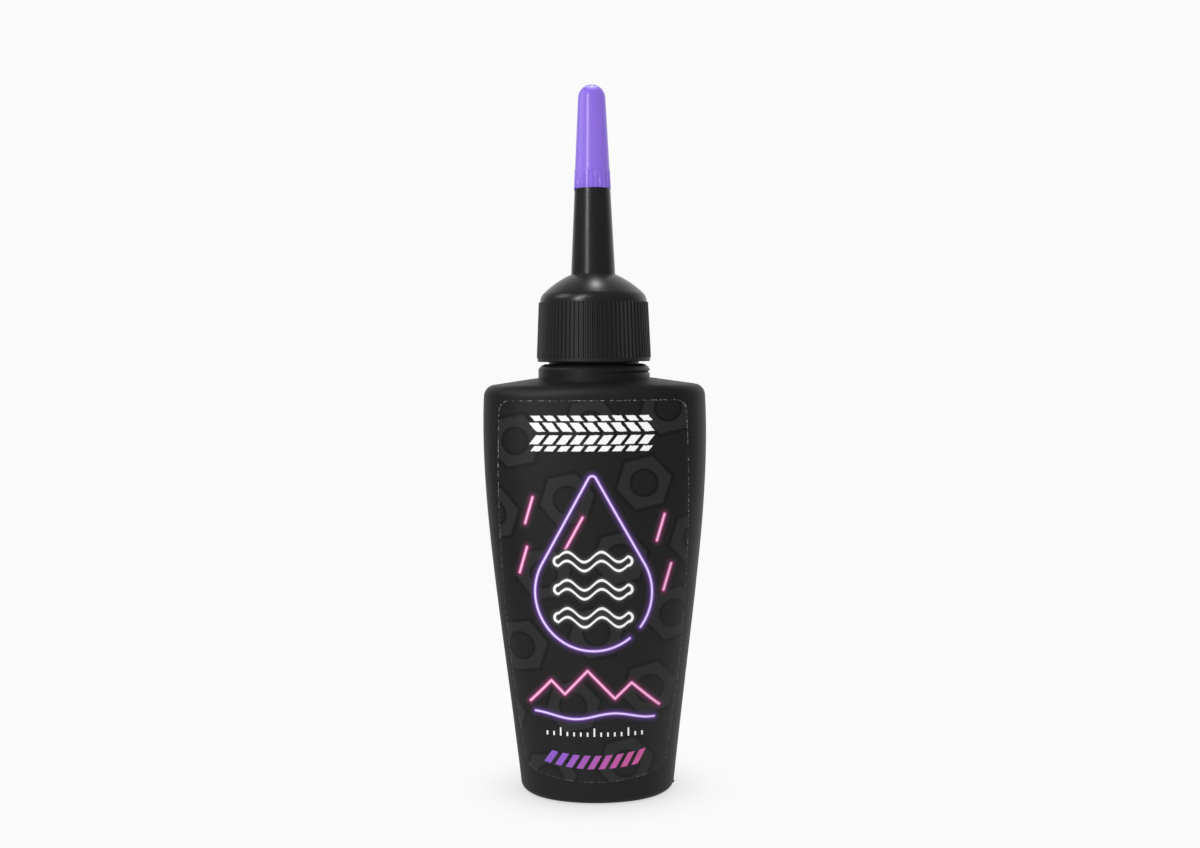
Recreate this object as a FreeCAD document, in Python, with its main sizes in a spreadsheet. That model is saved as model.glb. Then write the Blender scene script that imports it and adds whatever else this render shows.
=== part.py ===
import FreeCAD, Part
import math
import os
import re

import Sketcher
from FreeCAD import Vector

# A 50 ml squeeze bottle for chain lube: an oval blown bottle with a screw-on spout cap, a seal under
# the cap, a press-on tip and a film label. Millimetres, +Z up, origin under the middle of the base,
# width along X, front towards -Y.

SIZES = {
    # Blown body: five oval sections from the base up, each half its width, half its depth and the
    # radius of its rounded sides, and the rise from the section below
    "base_half_width": 15.1,
    "base_half_depth": 13.6,
    "base_side_radius": 13.2,
    "lower_rise": 22.25,
    "lower_half_width": 17.68,
    "lower_half_depth": 13.5,
    "lower_side_radius": 12.7,
    "waist_rise": 22.0,
    "waist_half_width": 20.29,
    "waist_half_depth": 13.5,
    "waist_side_radius": 12.3,
    "chest_rise": 18.0,
    "chest_half_width": 21.8,
    "chest_half_depth": 13.5,
    "chest_side_radius": 12.0,
    "shoulder_rise": 17.85,
    "shoulder_half_width": 21.76,
    "shoulder_half_depth": 13.5,
    "shoulder_side_radius": 11.9,
    # Shoulder slope up to the collar, which the support ring covers
    "collar_rise": 1.8,
    "collar_half_width": 9.5,
    "collar_half_depth": 9.0,
    "collar_side_radius": 8.5,
    "shoulder_round": 2.3,
    "heel_round": 1.5,
    # Walls and the pushed-up base
    "body_wall": 1.0,
    "push_up": 0.8,
    "push_up_slope": 1.0,
    "foot_width": 3.6,
    # Neck with its crowned support ring, a groove that deepens towards the ring's right side, and the
    # thread that stands on the neck
    "ring_rise": 4.3,
    "ring_radius": 10.98,
    "ring_crown": 0.95,
    "ring_crown_radius": 1.85,
    "ring_groove_drop": 1.62,
    "ring_groove_depth": 0.3,
    "ring_groove_width": 0.7,
    "neck_rise": 11.45,
    "neck_radius": 8.9,
    "neck_bore": 7.4,
    "thread_height": 1.0,
    "thread_clearance": 0.15,
    # Seal between the neck's rim and the cap
    "washer_thickness": 1.0,
    "washer_radius": 9.6,
    "washer_bore": 6.8,
    # Cap: smooth lip, ribbed skirt, domed top
    "cap_gap": 0.5,
    "lip_height": 0.75,
    "lip_radius": 11.14,
    "lip_round": 0.25,
    "skirt_height": 10.9,
    "skirt_foot_radius": 11.03,
    "skirt_head_radius": 10.54,
    "cap_rib_count": 76,
    "cap_rib_height": 0.26,
    "cap_rib_root_width": 0.62,
    "cap_rib_crest_width": 0.28,
    "dome_rim_rise": 1.08,
    "dome_crown": 18.8,
    "dome_round": 2.5,
    "dome_rise": 4.43,
    "dome_wall": 1.6,
    "seat_bore": 6.6,
    # Spout: a long taper up to the ledge that the tip stands on, then the nipple inside the tip
    "spout_foot_radius": 4.35,
    "spout_head_radius": 3.52,
    "spout_rise": 16.76,
    "spout_throat": 3.1,
    "nipple_foot_radius": 2.65,
    "nipple_head_radius": 1.75,
    "nipple_rise": 17.58,
    "nipple_round": 0.35,
    "outlet_radius": 0.6,
    "outlet_length": 1.4,
    "spout_end_bore": 1.05,
    # Press-on tip
    "tip_clearance": 0.1,
    "tip_end_clearance": 0.4,
    "tip_end_wall": 2.35,
    "tip_foot_radius": 3.42,
    "tip_collar_radius": 3.41,
    "tip_collar_rise": 3.7,
    "tip_head_radius": 2.7,
    "tip_rib_count": 24,
    "tip_rib_foot_height": 0.2,
    "tip_rib_head_height": 0.04,
    "tip_rib_root_width": 0.6,
    "tip_rib_crest_width": 0.32,
    # Film label on the front, stood off by its layer of glue
    "label_glue": 0.05,
    "label_film": 0.1,
    "label_head_margin": 2.4,
    "label_head_half_width": 18.15,
    "label_head_round": 2.25,
    "label_side_curve": 308.0,
    "label_foot_margin": 4.35,
    "label_foot_half_width": 13.95,
    "label_foot_round": 3.2,
    "label_foot_sag": 1.2,
}

# Heights above the base, as formulas over the sizes
BASE_Z = "0"
LOWER_Z = "lower_rise"
WAIST_Z = LOWER_Z + " + waist_rise"
CHEST_Z = WAIST_Z + " + chest_rise"
SHOULDER_Z = CHEST_Z + " + shoulder_rise"
COLLAR_Z = SHOULDER_Z + " + collar_rise"
RING_Z = SHOULDER_Z + " + ring_rise"
NECK_Z = RING_Z + " + neck_rise"
SEAT_Z = NECK_Z + " + washer_thickness"
CAP_Z = RING_Z + " + cap_gap"
SKIRT_Z = CAP_Z + " + lip_height"
DOME_Z = SKIRT_Z + " + skirt_height"
RIM_Z = DOME_Z + " + dome_rim_rise"
SPOUT_Z = RIM_Z + " + dome_rise"
LEDGE_Z = SPOUT_Z + " + spout_rise"
NIPPLE_Z = LEDGE_Z + " + nipple_rise"
TIP_COLLAR_Z = LEDGE_Z + " + tip_collar_rise"
TIP_BORE_Z = NIPPLE_Z + " + tip_end_clearance"
TIP_Z = TIP_BORE_Z + " + tip_end_wall"

SKIRT_BORE = "neck_radius + thread_height + thread_clearance"
SECTIONS = {"base": BASE_Z, "lower": LOWER_Z, "waist": WAIST_Z, "chest": CHEST_Z, "shoulder": SHOULDER_Z}

LEVEL = 1e-4
H_AXIS = -1
V_AXIS = -2

doc = FreeCAD.newDocument("lube_bottle")
sheet = doc.addObject("Spreadsheet::Sheet", "Sizes")
for row, (alias, size) in enumerate(SIZES.items(), start=1):
    sheet.set("A%d" % row, alias)
    sheet.set("B%d" % row, str(size))
    sheet.setAlias("B%d" % row, alias)
doc.recompute()


def formula(text):
    """Point every size named in a formula at its cell in the sheet."""
    return re.sub(r"[a-z]\w*", lambda name: "Sizes." + name.group(), text)


def number(text):
    """The present value of a formula over the sizes."""
    return float(sheet.evalExpression(formula(text)))


def new_body(label):
    """A body whose label names its piece."""
    body = doc.addObject("PartDesign::Body", label)
    body.Label = label
    return body


def new_sketch(body, name, role, offset="0"):
    """A sketch on one of the body's own origin planes, moved along the plane's normal."""
    sketch = body.newObject("Sketcher::SketchObject", body.Name + "_" + name)
    plane = next(item for item in body.Origin.OriginFeatures if item.Role == role)
    sketch.AttachmentSupport = [(plane, "")]
    sketch.MapMode = "FlatFace"
    sketch.setExpression("AttachmentOffset.Base.z", formula(offset))
    return sketch


def bind(sketch, constraint, text):
    """Add a constraint whose value follows a formula."""
    index = sketch.addConstraint(constraint)
    sketch.setExpression("Constraints[%d]" % index, formula(text))


def pin(sketch, piece, point, across, up):
    """Hold a point of the sketch at two formulas, or on an axis where one of them is nothing."""
    for kind, axis, text in (("DistanceX", V_AXIS, across), ("DistanceY", H_AXIS, up)):
        if text == "0":
            sketch.addConstraint(Sketcher.Constraint("PointOnObject", piece, point, axis))
        else:
            bind(sketch, Sketcher.Constraint(kind, H_AXIS, 1, piece, point, number(text)), text)


def arc_from(centre, radius, start, end):
    """A circle's arc that runs anticlockwise from one angle to another."""
    return Part.ArcOfCircle(Part.Circle(centre, Vector(0, 0, 1), radius), start, end)


def arc_between(start, end, radius, turn):
    """The short arc between two points, bending left of the way for turn 1 and right for turn -1."""
    chord = end - start
    middle = (start + end) * 0.5
    left = Vector(-chord.y, chord.x, 0).normalize()
    centre = middle + left * turn * math.sqrt(radius ** 2 - chord.Length ** 2 / 4)
    first, last = (start, end) if turn > 0 else (end, start)
    angles = [math.atan2(point.y - centre.y, point.x - centre.x) for point in (first, last)]
    if angles[1] < angles[0]:
        angles[1] += 2 * math.pi
    return arc_from(centre, radius, *angles)


def outline(body, name, role, corners, offset="0"):
    """A closed outline through corners given as formulas. A corner's third and fourth entries are the
    radius and the turn of the arc that leads on from it; without them a straight line does."""
    sketch = new_sketch(body, name, role, offset)
    places = [Vector(number(corner[0]), number(corner[1]), 0) for corner in corners]
    ends = []
    for index, corner in enumerate(corners):
        start = places[index]
        end = places[(index + 1) % len(places)]
        if len(corner) == 2:
            sketch.addGeometry(Part.LineSegment(start, end))
            ends.append((1, 2))
        else:
            radius, turn = corner[2:]
            sketch.addGeometry(arc_between(start, end, number(radius), turn))
            ends.append((1, 2) if turn > 0 else (2, 1))
    for index, corner in enumerate(corners):
        before = index - 1 if index else len(corners) - 1
        joint = (before, ends[before][1], index, ends[index][0])
        sketch.addConstraint(Sketcher.Constraint("Coincident", *joint))
        pin(sketch, index, ends[index][0], corner[0], corner[1])
        if len(corner) > 2:
            bind(sketch, Sketcher.Constraint("Radius", index, number(corner[2])), corner[2])
    return sketch


def circle(body, name, height, across, radius):
    """A level circle centred on the X axis."""
    sketch = new_sketch(body, name, "XY_Plane", height)
    sketch.addGeometry(Part.Circle(Vector(number(across), 0, 0), Vector(0, 0, 1), number(radius)))
    pin(sketch, 0, 3, across, "0")
    bind(sketch, Sketcher.Constraint("Radius", 0, number(radius)), radius)
    return sketch


def oval(body, name, height, section, inset):
    """A level oval of four tangent arcs: one of the named sections, drawn in by an inset all round."""
    half_width = "(%s_half_width - (%s))" % (section, inset)
    half_depth = "(%s_half_depth - (%s))" % (section, inset)
    side = "(%s_side_radius - (%s))" % (section, inset)
    side_place = "%s - %s" % (half_width, side)
    front = "((%s)^2 + %s^2 - %s^2) / (2 * (%s - %s))" % (side_place, half_depth, side, half_depth, side)
    across = number(side_place)
    radius = number(front)
    set_back = radius - number(half_depth)
    lean = math.atan2(set_back, across)
    sketch = new_sketch(body, name, "XY_Plane", height)
    sketch.addGeometry(arc_from(Vector(across, 0, 0), number(side), -lean, lean))
    sketch.addGeometry(arc_from(Vector(0, -set_back, 0), radius, lean, math.pi - lean))
    sketch.addGeometry(arc_from(Vector(-across, 0, 0), number(side), math.pi - lean, math.pi + lean))
    sketch.addGeometry(arc_from(Vector(0, set_back, 0), radius, math.pi + lean, 2 * math.pi - lean))
    for arc in range(4):
        sketch.addConstraint(Sketcher.Constraint("Tangent", arc, 2, (arc + 1) % 4, 1))
        text = front if arc % 2 else side
        bind(sketch, Sketcher.Constraint("Radius", arc, number(text)), text)
    pin(sketch, 0, 3, side_place, "0")
    pin(sketch, 2, 3, "-(%s)" % side_place, "0")
    return sketch


def loft(body, name, kind, sketches, ruled=False):
    """A loft through sketches, added or taken away."""
    feature = body.newObject("PartDesign::%sLoft" % kind, body.Name + "_" + name)
    feature.Profile = sketches[0]
    feature.Sections = sketches[1:]
    feature.Ruled = ruled
    doc.recompute()
    return feature


def revolve(body, name, sketch, kind="Revolution"):
    """A full turn of a sketch round its own upright axis."""
    feature = body.newObject("PartDesign::" + kind, body.Name + "_" + name)
    feature.Profile = sketch
    feature.ReferenceAxis = (sketch, ["V_Axis"])
    feature.Angle = 360
    doc.recompute()
    return feature


def level_edges(feature, height, radius=None):
    """The names of a feature's edges that lie level at a height, with a radius where one is given."""
    wanted = number(height)
    names = []
    for index, edge in enumerate(feature.Shape.Edges, start=1):
        level = all(abs(point.z - wanted) < LEVEL for point in edge.discretize(5))
        if not level:
            continue
        if radius and abs(edge.Vertexes[0].Point.sub(Vector(0, 0, wanted)).Length - number(radius)) > LEVEL:
            continue
        names.append("Edge%d" % index)
    return names


def fillet(body, name, base, edges, radius):
    """Round edges of the feature before."""
    feature = body.newObject("PartDesign::Fillet", body.Name + "_" + name)
    feature.Base = (base, edges)
    feature.setExpression("Radius", formula(radius))
    doc.recompute()
    return feature


def rib_section(body, name, height, root, crest_height, widths):
    """A rib's level section: flanks that slope from its root, sunk as far in the wall as it stands out."""
    root_width, crest_width = widths
    inner = "(%s - %s)" % (root, crest_height)
    crest = "(%s + %s)" % (root, crest_height)
    inner_half = "(%s - %s / 2)" % (root_width, crest_width)
    crest_half = "(%s / 2)" % crest_width
    return outline(body, name, "XY_Plane", [
        (inner, "-%s" % inner_half),
        (crest, "-%s" % crest_half),
        (crest, crest_half),
        (inner, inner_half),
    ], height)


def ribs(body, name, foot, head, widths, count):
    """Ribs up a tapered wall, one repeated round the Z axis. The foot and the head each give a height,
    the wall's radius there and how far the rib stands out."""
    start = rib_section(body, name + "_foot", *foot, widths)
    end = rib_section(body, name + "_head", *head, widths)
    first = loft(body, name + "_first", "Additive", [start, end], ruled=True)
    pattern = body.newObject("PartDesign::PolarPattern", body.Name + "_" + name)
    pattern.Originals = [first]
    pattern.Axis = (start, ["N_Axis"])
    pattern.Angle = 360
    pattern.setExpression("Occurrences", formula(count))
    body.Tip = pattern
    doc.recompute()
    return pattern


def blown_sides(body, name, inset, kind="Additive", floor=BASE_Z, top="0"):
    """The oval sides, drawn in by an inset, from a floor up to the shoulder less a wall."""
    sketches = []
    for section, height in SECTIONS.items():
        level = {"base": floor, "shoulder": "%s - (%s)" % (height, top)}.get(section, height)
        sketches.append(oval(body, name + "_" + section, level, section, inset))
    return loft(body, name, kind, sketches)


def blown_form(body, inset, floor, heel):
    """The body's sides, shoulder slope and rounded edges, drawn in by an inset."""
    sides = blown_sides(body, "sides", inset, floor=floor, top=inset)
    top = "%s - (%s)" % (SHOULDER_Z, inset)
    brim = oval(body, "brim", top, "shoulder", inset)
    collar = oval(body, "collar", "%s - (%s)" % (COLLAR_Z, inset), "collar", inset)
    slope = loft(body, "slope", "Additive", [brim, collar], ruled=True)
    rim = fillet(body, "rim", slope, level_edges(slope, top), "shoulder_round - (%s)" % inset)
    return fillet(body, "heel", rim, level_edges(rim, floor), heel)


def make_core():
    """The space inside the bottle: the blown form one wall further in, and the bore of the neck."""
    core = new_body("bottle_core")
    blown_form(core, "body_wall", "push_up + body_wall", "heel_round")
    bore = circle(core, "neck_bore", SHOULDER_Z + " - body_wall", "0", "neck_bore")
    neck = core.newObject("PartDesign::Pad", "bottle_core_neck")
    neck.Profile = bore
    neck.setExpression("Length", formula("body_wall + ring_rise + neck_rise + washer_thickness"))
    doc.recompute()
    return core


def make_bottle():
    """The blown bottle: oval body, neck with a support ring, pushed-up base, hollow inside."""
    bottle = new_body("bottle")
    blown_form(bottle, "0", BASE_Z, "heel_round")
    neck = outline(bottle, "neck_profile", "XZ_Plane", [
        ("0", SHOULDER_Z),
        ("ring_radius", SHOULDER_Z),
        ("ring_radius", RING_Z + " - ring_crown", "ring_crown_radius", 1),
        ("neck_radius", RING_Z),
        ("neck_radius", NECK_Z),
        ("0", NECK_Z),
    ])
    revolve(bottle, "neck", neck)
    middle = RING_Z + " - ring_groove_drop"
    groove = outline(bottle, "groove_profile", "XZ_Plane", [
        ("ring_radius", middle),
        ("ring_radius + 2 * ring_groove_depth", middle + " - ring_groove_width"),
        ("ring_radius + 2 * ring_groove_depth", middle + " + ring_groove_width"),
    ])
    groove.setExpression("AttachmentOffset.Base.x", formula("-ring_groove_depth"))
    revolve(bottle, "ring_groove", groove, "Groove")
    loft(bottle, "push_up", "Subtractive", [
        oval(bottle, "push_up_edge", BASE_Z, "base", "foot_width"),
        oval(bottle, "push_up_floor", "push_up", "base", "foot_width + push_up_slope"),
    ], ruled=True)
    hollow = bottle.newObject("PartDesign::Boolean", "bottle_hollow")
    hollow.Type = "Cut"
    hollow.addObject(make_core())
    doc.recompute()
    return bottle


def make_label():
    """The film label: a skin one film thick over the front of the bottle, cut to its outline."""
    label = new_body("front_label")
    blown_sides(label, "skin", "-label_glue - label_film")
    blown_sides(label, "seat", "-label_glue", kind="Subtractive")
    head = SHOULDER_Z + " - label_head_margin"
    foot = "label_foot_margin + label_foot_sag"
    head_flat = "label_head_half_width - label_head_round"
    foot_flat = "label_foot_half_width - label_foot_round"
    foot_curve = "((%s)^2 + label_foot_sag^2) / (2 * label_foot_sag)" % foot_flat
    shape = new_body("label_shape")
    edge = outline(shape, "edge", "XZ_Plane", [
        (head_flat, head),
        ("-(%s)" % head_flat, head, "label_head_round", 1),
        ("-label_head_half_width", head + " - label_head_round", "label_side_curve", 1),
        ("-label_foot_half_width", foot + " + label_foot_round", "label_foot_round", 1),
        ("-(%s)" % foot_flat, foot, foot_curve, 1),
        (foot_flat, foot, "label_foot_round", 1),
        ("label_foot_half_width", foot + " + label_foot_round", "label_side_curve", 1),
        ("label_head_half_width", head + " - label_head_round", "label_head_round", 1),
    ])
    block = shape.newObject("PartDesign::Pad", "label_shape_block")
    block.Profile = edge
    block.setExpression("Length", formula("base_half_depth + shoulder_half_depth"))
    doc.recompute()
    trim = label.newObject("PartDesign::Boolean", "front_label_trim")
    trim.Type = "Common"
    trim.addObject(shape)
    doc.recompute()
    return label


def make_washer():
    """The flat seal on the neck's rim."""
    washer = new_body("sealing_washer")
    section = outline(washer, "section", "XZ_Plane", [
        ("washer_bore", NECK_Z),
        ("washer_radius", NECK_Z),
        ("washer_radius", SEAT_Z),
        ("washer_bore", SEAT_Z),
    ])
    revolve(washer, "ring", section)
    return washer


def make_cap():
    """The screw cap and its spout, moulded as one: ribbed skirt, domed top, tapered spout, nipple."""
    cap = new_body("nozzle_cap")
    outside = outline(cap, "outside", "XZ_Plane", [
        ("0", CAP_Z),
        ("lip_radius", CAP_Z),
        ("lip_radius", SKIRT_Z),
        ("skirt_foot_radius", SKIRT_Z),
        ("skirt_head_radius", DOME_Z),
        ("skirt_head_radius", RIM_Z, "dome_crown", 1),
        ("spout_foot_radius", SPOUT_Z),
        ("spout_head_radius", LEDGE_Z),
        ("nipple_foot_radius", LEDGE_Z),
        ("nipple_head_radius", NIPPLE_Z),
        ("0", NIPPLE_Z),
    ])
    solid = revolve(cap, "solid", outside)
    dome = fillet(cap, "dome", solid, level_edges(solid, RIM_Z), "dome_round")
    lip = fillet(cap, "lip", dome, level_edges(dome, CAP_Z, "lip_radius"), "lip_round")
    fillet(cap, "nipple", lip, level_edges(lip, NIPPLE_Z), "nipple_round")
    foot = (SKIRT_Z, "skirt_foot_radius", "cap_rib_height")
    head = (DOME_Z, "skirt_head_radius", "cap_rib_height")
    ribs(cap, "ribs", foot, head, ("cap_rib_root_width", "cap_rib_crest_width"), "cap_rib_count")
    dome_slope = "(dome_rise / (skirt_head_radius - spout_foot_radius))"
    under_dome = SPOUT_Z + " - dome_wall + (spout_foot_radius - %s) * " + dome_slope
    inside = outline(cap, "inside", "XZ_Plane", [
        ("0", CAP_Z + " - lip_height"),
        (SKIRT_BORE, CAP_Z + " - lip_height"),
        (SKIRT_BORE, SEAT_Z),
        ("seat_bore", SEAT_Z),
        ("seat_bore", under_dome % "seat_bore"),
        ("spout_throat", under_dome % "spout_throat"),
        ("spout_end_bore", NIPPLE_Z + " - outlet_length"),
        ("outlet_radius", NIPPLE_Z + " - outlet_length"),
        ("outlet_radius", NIPPLE_Z + " + outlet_length"),
        ("0", NIPPLE_Z + " + outlet_length"),
    ])
    revolve(cap, "hollow", inside, "Groove")
    return cap


def make_tip():
    """The press-on tip: a ribbed foot, a tapered body with a round end, and a bore over the nipple."""
    tip = new_body("tip_cap")
    outside = outline(tip, "outside", "XZ_Plane", [
        ("0", LEDGE_Z),
        ("tip_foot_radius", LEDGE_Z),
        ("tip_collar_radius", TIP_COLLAR_Z),
        ("tip_head_radius", TIP_Z + " - tip_head_radius", "tip_head_radius", 1),
        ("0", TIP_Z),
    ])
    revolve(tip, "solid", outside)
    foot = (LEDGE_Z, "tip_foot_radius", "tip_rib_foot_height")
    head = (TIP_COLLAR_Z, "tip_collar_radius", "tip_rib_head_height")
    ribs(tip, "ribs", foot, head, ("tip_rib_root_width", "tip_rib_crest_width"), "tip_rib_count")
    inside = outline(tip, "inside", "XZ_Plane", [
        ("0", LEDGE_Z + " - tip_end_clearance"),
        ("nipple_foot_radius + tip_clearance", LEDGE_Z + " - tip_end_clearance"),
        ("nipple_foot_radius + tip_clearance", LEDGE_Z),
        ("nipple_head_radius + tip_clearance", NIPPLE_Z),
        ("nipple_head_radius + tip_clearance", TIP_BORE_Z),
        ("0", TIP_BORE_Z),
    ])
    revolve(tip, "hollow", inside, "Groove")
    return tip


pieces = [make_bottle(), make_label(), make_washer(), make_cap(), make_tip()]
doc.recompute()

for item in doc.Objects:
    if "Invalid" in item.State or "Error" in item.State:
        raise RuntimeError("%s failed: %s" % (item.Name, item.State))
for piece in pieces:
    if piece.Shape.isNull() or not piece.Shape.isValid() or len(piece.Shape.Solids) != 1:
        raise RuntimeError("%s is not one sound solid" % piece.Label)

os.makedirs("parts", exist_ok=True)
for piece in pieces:
    piece.Shape.exportStep("parts/%s.step" % piece.Label)
    print("%s %.1f mm3" % (piece.Label, piece.Shape.Volume))
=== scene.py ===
import math

import bmesh
import bpy
from mathutils import Matrix, Vector


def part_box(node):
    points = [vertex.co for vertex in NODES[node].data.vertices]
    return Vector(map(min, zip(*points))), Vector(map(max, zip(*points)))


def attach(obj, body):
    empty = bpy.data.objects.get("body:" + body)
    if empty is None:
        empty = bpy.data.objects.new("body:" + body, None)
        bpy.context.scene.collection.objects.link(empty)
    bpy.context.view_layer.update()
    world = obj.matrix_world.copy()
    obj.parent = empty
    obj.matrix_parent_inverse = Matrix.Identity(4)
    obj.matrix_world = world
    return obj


# Looks of a 50 ml squeeze bottle for chain lube: matt black blown bottle, satin black spout cap, purple
# tip and a printed film label. Metres, in the frame of the solids: +Z up, front towards -Y. The print
# is laid out in millimetres.

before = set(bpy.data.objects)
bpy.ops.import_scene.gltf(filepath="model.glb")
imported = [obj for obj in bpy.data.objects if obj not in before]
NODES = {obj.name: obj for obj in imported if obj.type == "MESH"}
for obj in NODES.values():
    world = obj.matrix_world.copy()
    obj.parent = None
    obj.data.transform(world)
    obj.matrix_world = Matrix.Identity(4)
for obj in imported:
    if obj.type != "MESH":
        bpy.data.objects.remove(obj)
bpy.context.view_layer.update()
MM = 0.001
ORIGIN = Vector((0, 0, 0))

# Camera, as it stood for the photograph
PHOTO_WIDTH = 1200
SENSOR = 36.0
FOCAL_PIXELS = 1515.0
CAMERA_DISTANCE = 300 * MM
CAMERA_HEIGHT = 87.75 * MM
CAMERA_ROUND = math.radians(2.2)
CAMERA_LOOK_ASIDE = math.radians(0.21)
CAMERA_PITCH = math.radians(2.91)
CAMERA_ROLL = math.radians(-0.48)
CAMERA_NEAREST = 10 * MM

# Studio: an even light, a white backdrop behind and a dimmer room in front of the object
WHITE = (1, 1, 1, 1)
LIGHT_LEVEL = 0.85
BACKGROUND = 0.955
ROOM_LEVEL = 0.16
BACKDROP_EDGE = (0.1, 1.0)
BACKDROP_TURN = math.radians(-8)
BODY_AIM = Vector((0, 0, 75 * MM))
SPOUT_AIM = Vector((0, 0, 120 * MM))
SHEEN_COLOUR = (0.75, 0.92, 1.0)

# Floor: a soft shade close round the foot, and a fade into the white further out
FLOOR_COLOUR = (0.9, 0.9, 0.905, 1)
FLOOR_RADIUS = 1.2
FLOOR_SIDES = 96
FLOOR_WHITE = 0.98
SHADE_REACH = (0.0025, 0.0275)
SHADE_GLOW = (0.35, 0.92)
FADE_REACH = (0.08, 0.3)
MIRRORED_ACROSS = (-0.12, 0.12)
MIRRORED_LEVEL = (0.4, 0.75)

# Heights read from the solids
LEDGE_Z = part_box("tip_cap")[0].z
CAP_FOOT_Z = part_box("nozzle_cap")[0].z
RIBS_HEAD_Z = CAP_FOOT_Z + 11.65 * MM
RING_FOOT_Z = CAP_FOOT_Z - 3.1 * MM
LABEL_FOOT_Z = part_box("front_label")[0].z
LABEL_HEAD_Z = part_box("front_label")[1].z

# Screw threads on the neck and inside the cap, each sunk a little into the wall that carries it
NECK_RADIUS = 8.9 * MM
SKIRT_BORE = 10.05 * MM
THREAD_PITCH = 3.175 * MM
THREAD_STEPS = 48
THREAD_RUN_OUT = 2.2 * MM
THREAD_END_SHARE = 0.15
THREAD_END_FACING = 0.9
THREAD_SINK = 0.15 * MM
THREAD_FOOT_Z = CAP_FOOT_Z + 2.3 * MM
THREAD_SMOOTH = math.radians(35)
NECK_THREAD = {
    "root": NECK_RADIUS - THREAD_SINK,
    "crest": SKIRT_BORE - 0.15 * MM,
    "root_width": 1.5 * MM,
    "crest_width": 0.7 * MM,
    "foot": THREAD_FOOT_Z,
    "turns": 1.75,
}
CAP_THREAD = {
    "root": SKIRT_BORE + THREAD_SINK,
    "crest": NECK_RADIUS + 0.3 * MM,
    "root_width": 1.2 * MM,
    "crest_width": 0.5 * MM,
    "foot": THREAD_FOOT_Z + THREAD_PITCH / 2,
    "turns": 1.25,
}

# Seam left by the two halves of the blow mould
SEAM_RADIUS = 0.06 * MM
SEAM_FOOT_Z = 0.3 * MM
SEAM_HEAD_Z = CAP_FOOT_Z - 1.4 * MM
SEAM_SMOOTH = math.radians(60)
BODY_MIDDLE = Vector((0, 0, 40 * MM))
MERGE = 1e-7

# Flakes of moulding flash at the heel and at the tip's foot
FLAKE_EDGE_SHARE = 0.35
FLAKE_SMOOTH = math.radians(50)
HEEL_FLASH = {
    "place": Vector((15.05 * MM, 0, 0.75 * MM)),
    "bearing": 0,
    "width": 0.8 * MM,
    "height": 0.55 * MM,
    "thickness": 0.3 * MM,
    "narrow": 0.5,
}
TIP_FLASH = {
    "place": Vector((-3.5 * MM, -0.9 * MM, LEDGE_Z - 0.1 * MM)),
    "bearing": math.radians(104),
    "width": 0.9 * MM,
    "height": 0.7 * MM,
    "thickness": 0.16 * MM,
    "narrow": 0.4,
}

# Shades of each material, from its darker patches to its lighter ones
BOTTLE_SHADES = ((0.0056, 0.0056, 0.0057, 1), (0.0082, 0.0082, 0.0084, 1))
CAP_SHADES = ((0.0082, 0.0082, 0.0082, 1), (0.0112, 0.0112, 0.0115, 1))
SCUFF_SHADE = (0.04, 0.04, 0.042, 1)
TIP_SHADES = ((0.241, 0.132, 0.69, 1), (0.258, 0.145, 0.717, 1))
FOAM_SHADES = ((0.74, 0.74, 0.72, 1), (0.84, 0.84, 0.82, 1))
FILM_SHADES = ((0.001, 0.001, 0.0011, 1), (0.0105, 0.0105, 0.0103, 1))

# Roughness of each material, before its patches and grain
BODY_ROUGHNESS = 0.46
NECK_ROUGHNESS = 0.36
SKIRT_ROUGHNESS = 0.46
DOME_ROUGHNESS = 0.27
TIP_ROUGHNESS = 0.26
FOAM_ROUGHNESS = 0.7
FILM_ROUGHNESS = 0.44

# Inks of the label. A neon tube has a halo, an ink and a core
NUT_FACE = (0.018, 0.018, 0.0177, 1)
NUT_LINE = (0.0015, 0.0015, 0.0015, 1)
# Light specks along the film's cut edge: its white core, and a painted highlight
CUT_CORE_AND_HIGHLIGHT = (0.3, 0.3, 0.29, 1)
WHITE_INK = (0.82, 0.82, 0.82, 1)
WHITE_HALO = (0.045, 0.045, 0.047, 1)
PURPLE_HALO = (0.05, 0.02, 0.105, 1)
PURPLE_INK = (0.24, 0.085, 0.52, 1)
PURPLE_CORE = (0.76, 0.66, 0.93, 1)
PINK_HALO = (0.085, 0.016, 0.05, 1)
PINK_INK = (0.55, 0.085, 0.3, 1)
PINK_CORE = (0.88, 0.52, 0.72, 1)
PURPLE = (PURPLE_HALO, PURPLE_INK, PURPLE_CORE)
PINK = (PINK_HALO, PINK_INK, PINK_CORE)

# Lines of the print: half of each line's width and how soft its edge is, in millimetres
NEON_LINES = ((0.7, 0.7), (0.34, 0.13), (0.15, 0.08))
WAVE_HALO_LINE = (0.62, 0.5)
WAVE_LINE = (0.25, 0.07)
NUT_EDGE_LINE = (0.32, 0.1)
NUT_HOLE_LINE = (0.28, 0.1)
TICK_LINE = (0.16, 0.04)
CUT_LINE = (0.09, 0.06)

# Places on the print, in millimetres across and up
SHINE = ((-5.2, 49.4), (-1.9, 55.4))
RAIN = ((-14.2, 44.6), (-13.0, 54.2), (12.2, 50.8), (13.4, 41.2))
RAIN_SLANT = (1.5, 5.0)
HILLS = (
    (-12.4, 19.6), (-8.2, 24.0), (-5.6, 21.4), (-1.2, 26.0), (4.0, 20.6), (7.2, 23.6), (12.4, 18.9),
)


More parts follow.
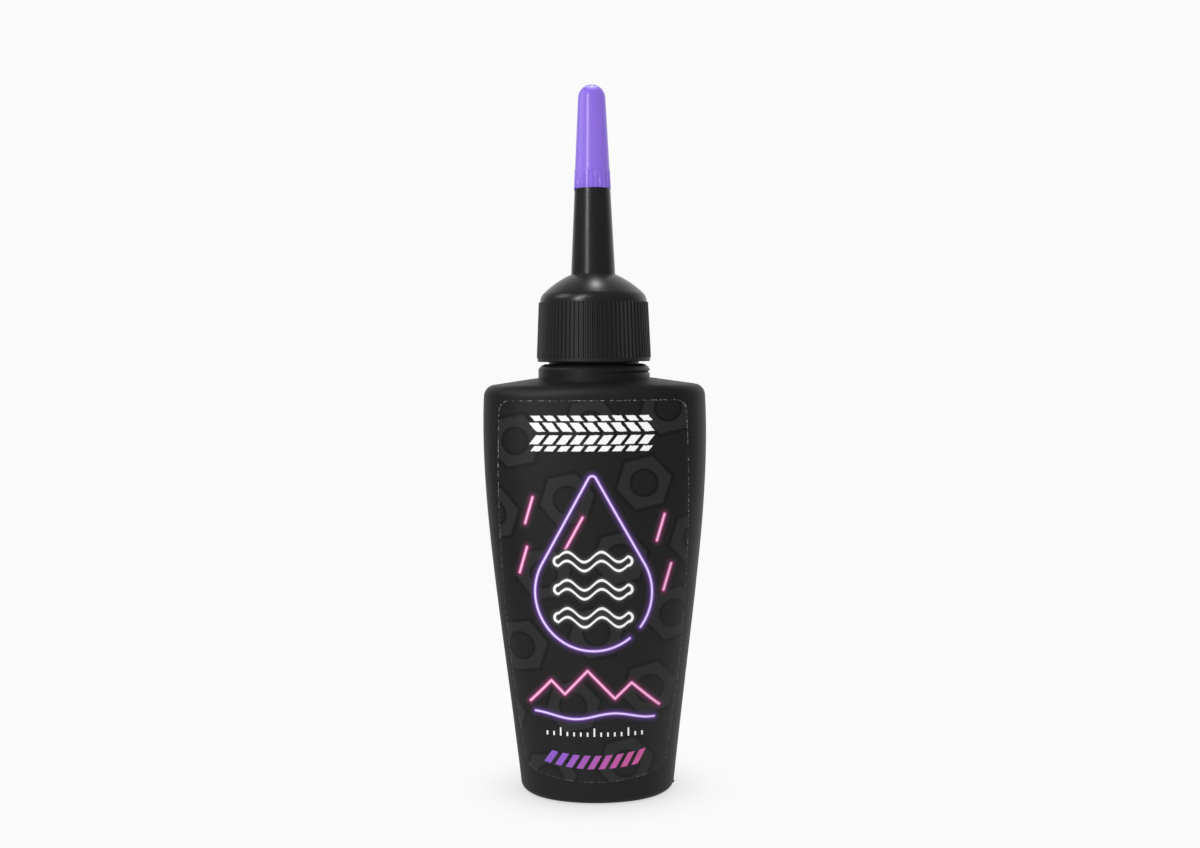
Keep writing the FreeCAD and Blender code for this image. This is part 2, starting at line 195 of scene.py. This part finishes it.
class Wire:
    """A number that changes over a surface: a node's output, with the operators of shader maths."""

    def __init__(self, board, socket):
        self.board = board
        self.socket = socket

    def maths(self, operation, *inputs):
        return self.board.node("ShaderNodeMath", {"operation": operation}, dict(enumerate(inputs)))

    def __add__(self, other):
        return self.maths("ADD", self, other)

    def __radd__(self, other):
        return self.maths("ADD", other, self)

    def __sub__(self, other):
        return self.maths("SUBTRACT", self, other)

    def __rsub__(self, other):
        return self.maths("SUBTRACT", other, self)

    def __mul__(self, other):
        return self.maths("MULTIPLY", self, other)

    def __rmul__(self, other):
        return self.maths("MULTIPLY", other, self)

    def __truediv__(self, other):
        return self.maths("DIVIDE", self, other)

    def __mod__(self, other):
        return self.maths("FLOORED_MODULO", self, other)

    def __lt__(self, other):
        return self.maths("LESS_THAN", self, other)

    def __gt__(self, other):
        return self.maths("GREATER_THAN", self, other)

    def __abs__(self):
        return self.maths("ABSOLUTE", self)

    def least(self, other):
        return self.maths("MINIMUM", self, other)

    def most(self, other):
        return self.maths("MAXIMUM", self, other)

    def between(self, low, high):
        return self.most(low).least(high)

    def floor(self):
        return self.maths("FLOOR", self)

    def sine(self):
        return self.maths("SINE", self)

    def far(self, other):
        """The length of the step whose two parts are this value and another."""
        return self.maths("SQRT", self * self + other * other)

    def choose(self, below, above):
        """One of two values, by a switch that is 0 or 1."""
        return below + self * (above - below)


class Board:
    """A node tree. Every node in it comes from one method."""

    def __init__(self, tree):
        self.tree = tree

    def feed(self, socket, value):
        if isinstance(value, Wire):
            self.tree.links.new(value.socket, socket)
        else:
            socket.default_value = value

    def node(self, kind, settings=None, inputs=None, output=0):
        made = self.tree.nodes.new(kind)
        for name, setting in (settings or {}).items():
            setattr(made, name, setting)
        for socket, value in (inputs or {}).items():
            self.feed(made.inputs[socket], value)
        return Wire(self, made.outputs[output]) if len(made.outputs) else None

    def ramp(self, value, low, high, bottom=0.0, top=1.0):
        """A smooth step from bottom to top as a value goes from low to high."""
        sockets = {0: value, 1: low, 2: high, 3: bottom, 4: top}
        return self.node("ShaderNodeMapRange", {"interpolation_type": "SMOOTHSTEP"}, sockets)

    def split(self, vector):
        """The three parts of a vector."""
        made = self.node("ShaderNodeSeparateXYZ", None, {0: vector}).socket.node
        return [Wire(self, part) for part in made.outputs]

    def rays(self, *kinds):
        """A switch for each kind of ray, such as Camera, which is 1 where that kind arrives."""
        made = self.node("ShaderNodeLightPath").socket.node
        return [Wire(self, made.outputs["Is %s Ray" % kind]) for kind in kinds]


class Finish(Board):
    """A material of one Principled shader. Its constants are set on the shader's own sockets."""

    def __init__(self, name, **constants):
        self.material = bpy.data.materials.new(name)
        self.material.use_nodes = True
        super().__init__(self.material.node_tree)
        self.shader = self.tree.nodes["Principled BSDF"]
        for socket, value in constants.items():
            self.shader.inputs[socket.replace("_", " ")].default_value = value
        self.place = self.node("ShaderNodeTexCoord", output="Object")

    def set(self, socket, value):
        self.feed(self.shader.inputs[socket], value)

    def axes(self):
        """The three object coordinates, in millimetres."""
        return [part * (1 / MM) for part in self.split(self.place)]

    def climb(self, level, soft, below, above):
        """A value that goes from one to another round a height. Both heights are in metres."""
        return self.ramp(self.axes()[2], (level - soft) / MM, (level + soft) / MM, below, above)

    def noise(self, size, detail=2.0, roughness=0.5):
        """Soft noise from 0 to 1 with grains of a given size in metres."""
        sockets = {"Vector": self.place, "Scale": 1 / size, "Detail": detail, "Roughness": roughness}
        return self.node("ShaderNodeTexNoise", None, sockets)

    def mix(self, factor, first, second):
        """A colour between two colours."""
        return self.node("ShaderNodeMix", {"data_type": "RGBA"}, {0: factor, 6: first, 7: second}, output=2)

    def bump(self, height, depth, strength=1.0):
        """Feed a relief of a given depth in metres to the shader's normal."""
        sockets = {"Height": height, "Distance": depth, "Strength": strength}
        self.set("Normal", self.node("ShaderNodeBump", None, sockets))


def bottle_finish():
    """Matt black blown plastic: a fine even grain, a little duller in soft patches, glossier at the neck."""
    finish = Finish("bottle_black", Specular_IOR_Level=0.32)
    patches = finish.noise(9 * MM)
    grain = finish.noise(0.16 * MM, detail=3)
    finish.set("Base Color", finish.mix(patches, *BOTTLE_SHADES))
    dull = finish.climb(RING_FOOT_Z, 0.5 * MM, BODY_ROUGHNESS, NECK_ROUGHNESS)
    finish.set("Roughness", dull + patches * 0.06 + grain * 0.05)
    finish.bump(grain, depth=0.012 * MM, strength=0.5)
    return finish.material


def cap_finish():
    """Satin black moulded plastic, duller on the ribbed skirt than above it, with light scuffs."""
    finish = Finish("cap_black", Specular_IOR_Level=0.45)
    patches = finish.noise(5 * MM)
    grain = finish.noise(0.12 * MM, detail=3)
    scuffs = finish.ramp(finish.noise(0.45 * MM, detail=4, roughness=0.7), 0.62, 0.74)
    finish.set("Base Color", finish.mix(scuffs * 0.35, finish.mix(patches, *CAP_SHADES), SCUFF_SHADE))
    dull = finish.climb(RIBS_HEAD_Z, 0.2 * MM, SKIRT_ROUGHNESS, DOME_ROUGHNESS)
    finish.set("Roughness", dull + patches * 0.05 + scuffs * 0.1)
    finish.bump(grain, depth=0.003 * MM, strength=0.4)
    return finish.material


def tip_finish():
    """Satin purple moulded plastic."""
    finish = Finish("tip_purple", Specular_IOR_Level=0.45)
    patches = finish.noise(4 * MM)
    grain = finish.noise(0.12 * MM, detail=3)
    finish.set("Base Color", finish.mix(patches, *TIP_SHADES))
    finish.set("Roughness", TIP_ROUGHNESS + patches * 0.05)
    finish.bump(grain, depth=0.005 * MM, strength=0.4)
    return finish.material


def foam_finish():
    """White closed-cell foam."""
    finish = Finish("seal_white", Specular_IOR_Level=0.3)
    cells = finish.noise(0.25 * MM, detail=3)
    finish.set("Base Color", finish.mix(cells, *FOAM_SHADES))
    finish.set("Roughness", FOAM_ROUGHNESS + cells * 0.15)
    finish.bump(cells, depth=0.03 * MM, strength=0.6)
    return finish.material


class Label(Finish):
    """The printed film. Its print is drawn from distances over the front, in millimetres."""

    def __init__(self):
        super().__init__("label_print", Specular_IOR_Level=0.4)
        self.across, _, self.up = self.axes()
        self.grain = self.noise(0.22 * MM, detail=3)
        self.rough_edge = self.noise(0.5 * MM, detail=3) - 0.5
        self.paint = self.mix(self.grain, *FILM_SHADES)

    def cover(self, mask, ink):
        """Lay an ink over the print so far."""
        self.paint = self.mix(mask, self.paint, ink)

    def line(self, distance, half_width, soft=0.05):
        """A mask along the places where a distance is nothing."""
        return self.ramp(abs(distance), half_width - soft, half_width + soft, 1.0, 0.0)

    def neon(self, distance, inks):
        """A glowing tube along the places where a distance is nothing."""
        for width, ink in zip(NEON_LINES, inks):
            self.cover(self.line(distance, *width), ink)

    def stroke(self, start, end):
        """The distance from a straight stroke with round ends."""
        run, climb = end[0] - start[0], end[1] - start[1]
        aside, above = self.across - start[0], self.up - start[1]
        share = (aside * run + above * climb) * (1 / (run * run + climb * climb))
        share = share.between(0.0, 1.0)
        return (aside - share * run).far(above - share * climb)

    def strokes(self, points):
        """The distance from a line of strokes through points."""
        nearest = self.stroke(points[0], points[1])
        for start, end in zip(points[1:], points[2:]):
            nearest = nearest.least(self.stroke(start, end))
        return nearest

    def nuts(self, spacing=15.0, row_height=13.0, flats=4.9, hole=2.5, turn=math.radians(12)):
        """Large hexagon nuts, tone on tone, in slanting rows."""
        along = self.across * math.cos(turn) + self.up * math.sin(turn)
        rise = self.up * math.cos(turn) - self.across * math.sin(turn)
        row = (rise / row_height).floor()
        aside = (along + (row % 2.0) * (spacing / 2)) % spacing - spacing / 2
        above = rise % row_height - row_height / 2
        hexagon = abs(above).most(abs(aside) * math.cos(math.radians(30)) + abs(above) * 0.5) - flats
        bore = aside.far(above) - hole
        face = (hexagon < 0.0) * (bore > 0.0)
        grained = 0.1 + self.grain * 1.3
        self.cover(face * grained, NUT_FACE)
        self.cover(self.line(hexagon, *NUT_EDGE_LINE).most(self.line(bore, *NUT_HOLE_LINE)), NUT_LINE)

    def dashes(self, along, pitch, dash, count):
        """A mask of an odd number of dashes in a row, the middle one at nothing."""
        place = along + dash / 2
        return ((place % pitch) < dash) * (abs((place / pitch).floor()) < count / 2)

    def tread(self, middle=71.4, pitch=2.6, count=9, lean=0.8, ragged_across=0.25, ragged_up=0.3,
              block=1.8, block_row=1.2, block_half=0.85, knob=1.75, knob_row=2.9, knob_half=0.5):
        """A white tyre track: two rows of slanted blocks with knobs along both sides."""
        above = abs(self.up - middle + self.rough_edge * ragged_up)
        along = self.across + above * lean + self.rough_edge * ragged_across
        blocks = self.dashes(along - block / 2, pitch, block, count)
        knobs = self.dashes(along - pitch / 2 - knob / 2, pitch, knob, count)
        blocks = self.line(above - block_row, block_half) * blocks
        knobs = self.line(above - knob_row, knob_half) * knobs
        self.cover(blocks.most(knobs), WHITE_INK)

    def drop(self, middle=41.0, radius=11.2, height=21.5, point=0.8, gap=(-52, -37)):
        """The distance from a drop: a large circle, open at a gap, drawn up to a small round point."""
        slope = (radius - point) / height
        flank = math.sqrt(1 - slope * slope)
        aside, above = abs(self.across), self.up - middle
        along = above * flank - aside * slope
        belly = aside.far(above) - radius
        side = aside * flank + above * slope - radius
        tip = aside.far(above - height) - point
        outline = abs((along > flank * height).choose((along > 0.0).choose(belly, side), tip))
        from_ends = []
        past_ends = []
        for bearing in gap:
            east, north = math.cos(math.radians(bearing)), math.sin(math.radians(bearing))
            from_ends.append((self.across - radius * east).far(above - radius * north))
            past_ends.append(above * east - self.across * north)
        in_gap = (past_ends[0] > 0.0) * (past_ends[1] < 0.0)
        return in_gap.choose(outline, from_ends[0].least(from_ends[1]))

    def ripple(self, half_length, height, length):
        """A wavy line's nearest place across, which stops at its ends, and its height there."""
        bend = self.across.between(-half_length, half_length)
        return bend, (bend * (2 * math.pi / length)).sine() * height

    def trail(self, level=17.2, half_length=11.4, height=0.55, length=15.0):
        """The distance from a wavy line with round ends."""
        bend, lift = self.ripple(half_length, height, length)
        return (self.across - bend).far(self.up - level - lift)

    def waves(self, first=36.2, spacing=5.4, rows=3, half_length=6.6, height=0.95, length=6.6, tube=0.85):
        """White double-lined waves, one above the other."""
        bend, lift = self.ripple(half_length, height, length)
        from_first = self.up - first - lift
        row = (from_first / spacing + 0.5).floor().between(0.0, rows - 1.0)
        wall = (self.across - bend).far(from_first - row * spacing) - tube
        self.cover(self.line(wall, *WAVE_HALO_LINE), WHITE_HALO)
        self.cover(self.line(wall, *WAVE_LINE), WHITE_INK)

    def ruler(self, foot=13.3, pitch=1.3, count=15, low=0.8, high=1.6):
        """A fine row of white ticks, each fifth one tall."""
        tick = (self.across / pitch + 0.5).floor()
        tall = abs(tick % 5.0) < 0.5
        above = self.up - foot
        reach = (above > 0.0) * (above < tall * (high - low) + low) * (abs(tick) < count / 2)
        self.cover(self.line(self.across - tick * pitch, *TICK_LINE) * reach, WHITE_INK)

    def stripes(self, foot=7.0, height=2.6, pitch=2.1, stripe=1.25, count=9, lean=0.6, sag=0.0105):
        """Slanted stripes along the foot, from purple to pink."""
        above = self.up - foot - self.across * self.across * sag
        along = self.across - (above - height / 2) * lean
        mask = self.dashes(along, pitch, stripe, count) * (above > 0.0) * (above < height)
        reach = pitch * count / 2
        self.cover(mask, self.mix(self.ramp(along, -reach, reach), PURPLE_INK, PINK_INK))

    def cut_edge(self, head=(18.15, 2.25), foot=(13.95, 3.2), bulge=1.8, sag=1.2, inset=0.08, highlight_from=30.0):
        """Light specks along the film's cut edge: its white core, and a painted highlight that is brightest
        at the head, where the light falls.

        Head and foot each have half the film's width there and the radius of its corners.
        """
        top, bottom = LABEL_HEAD_Z / MM, LABEL_FOOT_Z / MM
        low, high = bottom + sag + foot[1], top - head[1]
        share = ((self.up - low) * (1 / (high - low))).between(0.0, 1.0)
        half = share * (head[0] - foot[0]) + foot[0] + share * (1 - share) * (4 * bulge)
        corner = (share > 0.5) * (head[1] - foot[1]) + foot[1]
        flat = foot[0] - foot[1]
        dip = (1 - (self.across * self.across * (1 / (flat * flat))).least(1.0)) * sag
        over_head, under_foot = self.up - top, bottom + sag - dip - self.up
        beyond = over_head.most(under_foot) + corner
        aside = abs(self.across) - half + corner
        outside = aside.most(0.0).far(beyond.most(0.0)) + aside.most(beyond).least(0.0) - corner
        specks = self.ramp(self.noise(0.5 * MM, detail=4, roughness=0.75), 0.48, 0.64)
        # Painted highlight: the specks grow brighter towards the head, where the light falls on the edge
        edge_highlight = self.ramp(self.up, highlight_from, top, 0.35, 1.0)
        self.cover(self.line(outside + inset, *CUT_LINE) * specks * edge_highlight, CUT_CORE_AND_HIGHLIGHT)


def label_finish():
    """Satin film with a neon drop, waves, rain and hills, a tyre track above and stripes below."""
    label = Label()
    label.nuts()
    label.tread()
    label.neon(label.drop(), PURPLE)
    label.neon(label.stroke(*SHINE), PINK)
    label.waves()
    for aside, foot in RAIN:
        label.neon(label.stroke((aside, foot), (aside + RAIN_SLANT[0], foot + RAIN_SLANT[1])), PINK)
    label.neon(label.strokes(HILLS), PINK)
    label.neon(label.trail(), PURPLE)
    label.ruler()
    label.stripes()
    label.cut_edge()
    label.set("Base Color", label.paint)
    label.set("Roughness", FILM_ROUGHNESS + label.grain * 0.08)
    return label.material


def dress(node, material):
    """Give a solid its finish."""
    slots = NODES[node].data.materials
    slots.clear()
    slots.append(material)


def pick(piece, kind, test):
    """Select the parts of a mesh in edit mode, its verts or its faces, that pass a test."""
    bpy.ops.mesh.select_all(action="DESELECT")
    bpy.ops.mesh.select_mode(type="VERT" if kind == "verts" else "FACE")
    mesh = bmesh.from_edit_mesh(piece.data)
    for part in getattr(mesh, kind):
        if test(part):
            part.select_set(True)
    mesh.select_flush_mode()
    bmesh.update_edit_mesh(piece.data)


def finish_piece(piece, body, material):
    """Name a new piece's carrier and its finish."""
    piece.data.materials.clear()
    piece.data.materials.append(material)
    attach(piece, body)


def add_sheet(name, place, bearing, width, height):
    """An upright rectangle, turned to a bearing, with its size and place in its mesh."""
    bpy.ops.object.select_all(action="DESELECT")
    bpy.ops.mesh.primitive_plane_add(size=1, location=place, rotation=(math.pi / 2, 0, bearing))
    piece = bpy.context.object
    piece.name = name
    piece.scale = (width, height, 1)
    bpy.ops.object.transform_apply(location=True, rotation=True, scale=True)
    return piece


def make_thread(name, root, crest, root_width, crest_width, foot, turns):
    """A screw thread: a tapered section swept up a right-hand helix, with run-out ends."""
    piece = add_sheet(name, ((root + crest) / 2, 0, foot), 0, abs(crest - root), root_width)
    bpy.ops.object.mode_set(mode="EDIT")
    pick(piece, "verts", lambda vert: abs(vert.co.x - crest) < abs(vert.co.x - root))
    bpy.ops.transform.resize(value=(1, 1, crest_width / root_width), center_override=(crest, 0, foot))
    bpy.ops.mesh.select_all(action="SELECT")
    bpy.ops.mesh.delete(type="ONLY_FACE")
    bpy.ops.object.mode_set(mode="OBJECT")
    helix = piece.modifiers.new("helix", "SCREW")
    helix.angle = 2 * math.pi * turns
    helix.screw_offset = THREAD_PITCH * turns
    helix.steps = helix.render_steps = int(THREAD_STEPS * turns)
    bpy.ops.object.modifier_apply(modifier="helix")
    bpy.ops.object.mode_set(mode="EDIT")
    bpy.ops.mesh.select_all(action="SELECT")
    bpy.ops.mesh.fill_holes(sides=4)
    bpy.ops.mesh.normals_make_consistent(inside=False)
    for end, angle in ((-1, 0.0), (1, 2 * math.pi * turns)):
        run_out(piece, root, foot, end, angle)
    bpy.ops.mesh.select_all(action="SELECT")
    bpy.ops.mesh.normals_make_consistent(inside=False)
    bpy.ops.object.mode_set(mode="OBJECT")
    bpy.ops.object.shade_smooth_by_angle(angle=THREAD_SMOOTH)
    return piece


def run_out(piece, root, foot, end, angle):
    """Draw one end of a thread on along the helix until it nearly sinks into the wall."""
    out = Vector((math.cos(angle), math.sin(angle), 0))
    way = Vector((-math.sin(angle), math.cos(angle), 0)) * end

    def is_end(face):
        return face.normal.dot(way) > THREAD_END_FACING and face.calc_center_median().dot(out) > 0

    pick(piece, "faces", is_end)
    climb = Vector((0, 0, end * THREAD_PITCH * THREAD_RUN_OUT / (2 * math.pi * root)))
    step = way * THREAD_RUN_OUT + climb - out * THREAD_RUN_OUT ** 2 / (2 * root)
    bpy.ops.mesh.extrude_region_move(TRANSFORM_OT_translate={"value": step})
    seat = out * root + Vector((0, 0, foot + THREAD_PITCH * angle / (2 * math.pi))) + step
    bpy.ops.transform.resize(value=(THREAD_END_SHARE,) * 3, center_override=seat)


def make_seam():
    """The fine raised seam round the bottle's two sides and under its base, where the mould met."""
    bpy.ops.object.select_all(action="DESELECT")
    seam = bpy.data.objects.new("bottle_seam", NODES["bottle"].data.copy())
    bpy.context.scene.collection.objects.link(seam)
    seam.select_set(True)
    bpy.context.view_layer.objects.active = seam
    bpy.ops.object.mode_set(mode="EDIT")
    bpy.ops.mesh.select_all(action="SELECT")
    bpy.ops.mesh.remove_doubles(threshold=MERGE)
    pick(seam, "faces", lambda face: face.normal.dot(face.calc_center_median() - BODY_MIDDLE) < 0)
    bpy.ops.mesh.delete(type="FACE")
    bpy.ops.mesh.select_all(action="SELECT")
    bpy.ops.mesh.bisect(plane_co=ORIGIN, plane_no=(0, 1, 0), clear_inner=True, clear_outer=True)
    pick(seam, "verts", lambda vert: not SEAM_FOOT_Z < vert.co.z < SEAM_HEAD_Z)
    bpy.ops.mesh.delete(type="VERT")
    bpy.ops.object.mode_set(mode="OBJECT")
    bpy.ops.object.convert(target="CURVE")
    seam.data.bevel_depth = SEAM_RADIUS
    seam.data.bevel_resolution = 1
    bpy.ops.object.convert(target="MESH")
    bpy.ops.object.shade_smooth_by_angle(angle=SEAM_SMOOTH)
    return seam


def make_flake(name, place, bearing, width, height, thickness, narrow):
    """A flake of moulding flash: a thin tapered tongue that hangs from an edge."""
    piece = add_sheet(name, place, bearing, width, height)
    bpy.ops.object.mode_set(mode="EDIT")
    pick(piece, "verts", lambda vert: vert.co.z < place.z)
    foot = (place.x, place.y, place.z - height / 2)
    bpy.ops.transform.resize(value=(narrow, narrow, 1), center_override=foot)
    bpy.ops.object.mode_set(mode="OBJECT")
    body = piece.modifiers.new("body", "SOLIDIFY")
    body.thickness = thickness
    body.offset = 0
    edge = piece.modifiers.new("edge", "BEVEL")
    edge.width = thickness * FLAKE_EDGE_SHARE
    edge.segments = 2
    for modifier in ("body", "edge"):
        bpy.ops.object.modifier_apply(modifier=modifier)
    bpy.ops.object.shade_smooth_by_angle(angle=FLAKE_SMOOTH)
    return piece


def make_camera():
    """The camera stands a little to the right, looks slightly down and leans a touch."""
    data = bpy.data.cameras.new("camera")
    data.sensor_width = SENSOR
    data.lens = FOCAL_PIXELS / PHOTO_WIDTH * SENSOR
    data.clip_start = CAMERA_NEAREST
    camera = bpy.data.objects.new("camera", data)
    bpy.context.scene.collection.objects.link(camera)
    across = CAMERA_DISTANCE * math.sin(CAMERA_ROUND)
    back = -CAMERA_DISTANCE * math.cos(CAMERA_ROUND)
    turn = Matrix.Rotation(CAMERA_ROUND - CAMERA_LOOK_ASIDE, 4, "Z")
    tilt = Matrix.Rotation(math.pi / 2 - CAMERA_PITCH, 4, "X")
    lean = Matrix.Rotation(CAMERA_ROLL, 4, "Z")
    camera.matrix_world = Matrix.Translation((across, back, CAMERA_HEIGHT)) @ turn @ tilt @ lean
    bpy.context.scene.camera = camera


def make_world():
    """A plain even light. Seen directly the surroundings are white; gloss shows a white backdrop behind
    the object and a dimmer room in front of it."""
    world = bpy.data.worlds.new("studio")
    world.use_nodes = True
    bpy.context.scene.world = world
    board = Board(world.node_tree)
    board.tree.nodes.clear()
    seen, gloss, through = board.rays("Camera", "Glossy", "Transmission")
    aside, behind, _ = board.split(board.node("ShaderNodeTexCoord", output="Generated"))
    behind = behind * math.cos(BACKDROP_TURN) - aside * math.sin(BACKDROP_TURN)
    mirrored = board.ramp(behind, *BACKDROP_EDGE, ROOM_LEVEL, BACKGROUND)
    level = LIGHT_LEVEL + seen.most(through) * (BACKGROUND - LIGHT_LEVEL)
    level = level + gloss * (mirrored - LIGHT_LEVEL)
    light = board.node("ShaderNodeBackground", None, {0: WHITE, 1: level})
    board.node("ShaderNodeOutputWorld", None, {0: light})


def make_floor():
    """A pale floor that keeps a faint shadow and fades into the white around it."""
    bpy.ops.object.select_all(action="DESELECT")
    bpy.ops.mesh.primitive_circle_add(vertices=FLOOR_SIDES, radius=FLOOR_RADIUS, fill_type="NGON")
    floor = bpy.context.object
    floor.name = "floor"
    material = bpy.data.materials.new("floor_white")
    material.use_nodes = True
    board = Board(material.node_tree)
    board.tree.nodes.clear()
    place = board.node("ShaderNodeTexCoord", output="Object")
    reach = board.node("ShaderNodeVectorMath", {"operation": "LENGTH"}, {0: place}, output="Value")
    across = board.split(place)[0]
    seen, gloss = board.rays("Camera", "Glossy")
    level = gloss.choose(FLOOR_WHITE, board.ramp(across, *MIRRORED_ACROSS, *MIRRORED_LEVEL))
    paper = board.node("ShaderNodeBsdfDiffuse", None, {0: FLOOR_COLOUR})
    white = board.node("ShaderNodeEmission", None, {0: WHITE, 1: level})
    clear = board.node("ShaderNodeBsdfTransparent")
    glow = seen.most(gloss) * board.ramp(reach, *SHADE_REACH, *SHADE_GLOW)
    lit = board.node("ShaderNodeMixShader", None, {0: glow, 1: paper, 2: white})
    both = board.node("ShaderNodeMixShader", None, {0: board.ramp(reach, *FADE_REACH), 1: lit, 2: clear})
    board.node("ShaderNodeOutputMaterial", None, {0: both})
    floor.data.materials.append(material)
    return floor


def name_receivers(name, objects, state):
    """A collection that says what lamps light: some objects alone, or everything but those objects."""
    receivers = bpy.data.collections.new(name)
    for index, lit in enumerate(objects):
        receivers.objects.link(lit)
        receivers.collection_objects[index].light_linking.link_state = state
    return receivers


def make_lamp(name, size, power, place, aim, receivers):
    """An area lamp at a place, turned to what it lights, for the objects that a collection names."""
    data = bpy.data.lights.new(name, "AREA")
    data.shape = "RECTANGLE"
    data.size, data.size_y = size
    data.energy = power
    lamp = bpy.data.objects.new(name, data)
    bpy.context.scene.collection.objects.link(lamp)
    turn = (Vector(place) - aim).to_track_quat("Z", "Y").to_matrix().to_4x4()
    lamp.matrix_world = Matrix.Translation(place) @ turn
    lamp.light_linking.receiver_collection = receivers
    return lamp


def make_windows(floor):
    """Two soft windows at the left for the black pieces, and a strip for the long highlight of the spout."""
    black_pieces = name_receivers("black_pieces", [floor, NODES["tip_cap"]], "EXCLUDE")
    all_pieces = name_receivers("all_pieces", [floor], "EXCLUDE")
    make_lamp("left_window", size=(0.16, 0.16), power=0.8, place=(-0.24, -0.5, 0.6), aim=BODY_AIM,
              receivers=black_pieces)
    make_lamp("far_window", size=(0.25, 0.25), power=0.6, place=(-0.5, -0.1, 0.5), aim=BODY_AIM,
              receivers=black_pieces)
    make_lamp("left_strip", size=(0.024, 0.26), power=1.35, place=(-0.3, -0.5, 0.33), aim=SPOUT_AIM,
              receivers=all_pieces)


def make_glint():
    """A small lamp overhead for the glint on the cap's dome, which the spout doesn't shade."""
    cap_and_tip = name_receivers("cap_and_tip", [NODES["nozzle_cap"], NODES["tip_cap"]], "INCLUDE")
    glint = make_lamp("overhead", size=(0.03, 0.03), power=0.38, place=(0.018, 0.16, 0.62), aim=BODY_AIM,
                      receivers=cap_and_tip)
    glint.data.use_shadow = False


def make_sheen():
    """Two broad cool lamps that only the gloss of the tip shows."""
    tip_alone = name_receivers("tip_alone", [NODES["tip_cap"]], "INCLUDE")
    left_sheen = make_lamp("left_sheen", size=(0.4, 0.4), power=0.95, place=(-0.45, -0.02, 0.3),
                           aim=SPOUT_AIM, receivers=tip_alone)
    top_sheen = make_lamp("top_sheen", size=(0.4, 0.4), power=2.2, place=(0, 0.1, 0.6),
                          aim=SPOUT_AIM, receivers=tip_alone)
    for sheen in (left_sheen, top_sheen):
        sheen.data.color = SHEEN_COLOUR
        sheen.visible_diffuse = False


make_camera()
make_world()
make_windows(make_floor())
make_glint()
make_sheen()

BOTTLE_BLACK = bottle_finish()
CAP_BLACK = cap_finish()
TIP_PURPLE = tip_finish()
dress("bottle", BOTTLE_BLACK)
dress("nozzle_cap", CAP_BLACK)
dress("tip_cap", TIP_PURPLE)
dress("sealing_washer", foam_finish())
dress("front_label", label_finish())

finish_piece(make_thread("neck_thread", **NECK_THREAD), "bottle", BOTTLE_BLACK)
finish_piece(make_thread("cap_thread", **CAP_THREAD), "cap", CAP_BLACK)
finish_piece(make_seam(), "bottle", BOTTLE_BLACK)
finish_piece(make_flake("heel_flash", **HEEL_FLASH), "bottle", BOTTLE_BLACK)
finish_piece(make_flake("tip_flash", **TIP_FLASH), "tip", TIP_PURPLE)

bpy.context.scene.view_settings.view_transform = "Standard"
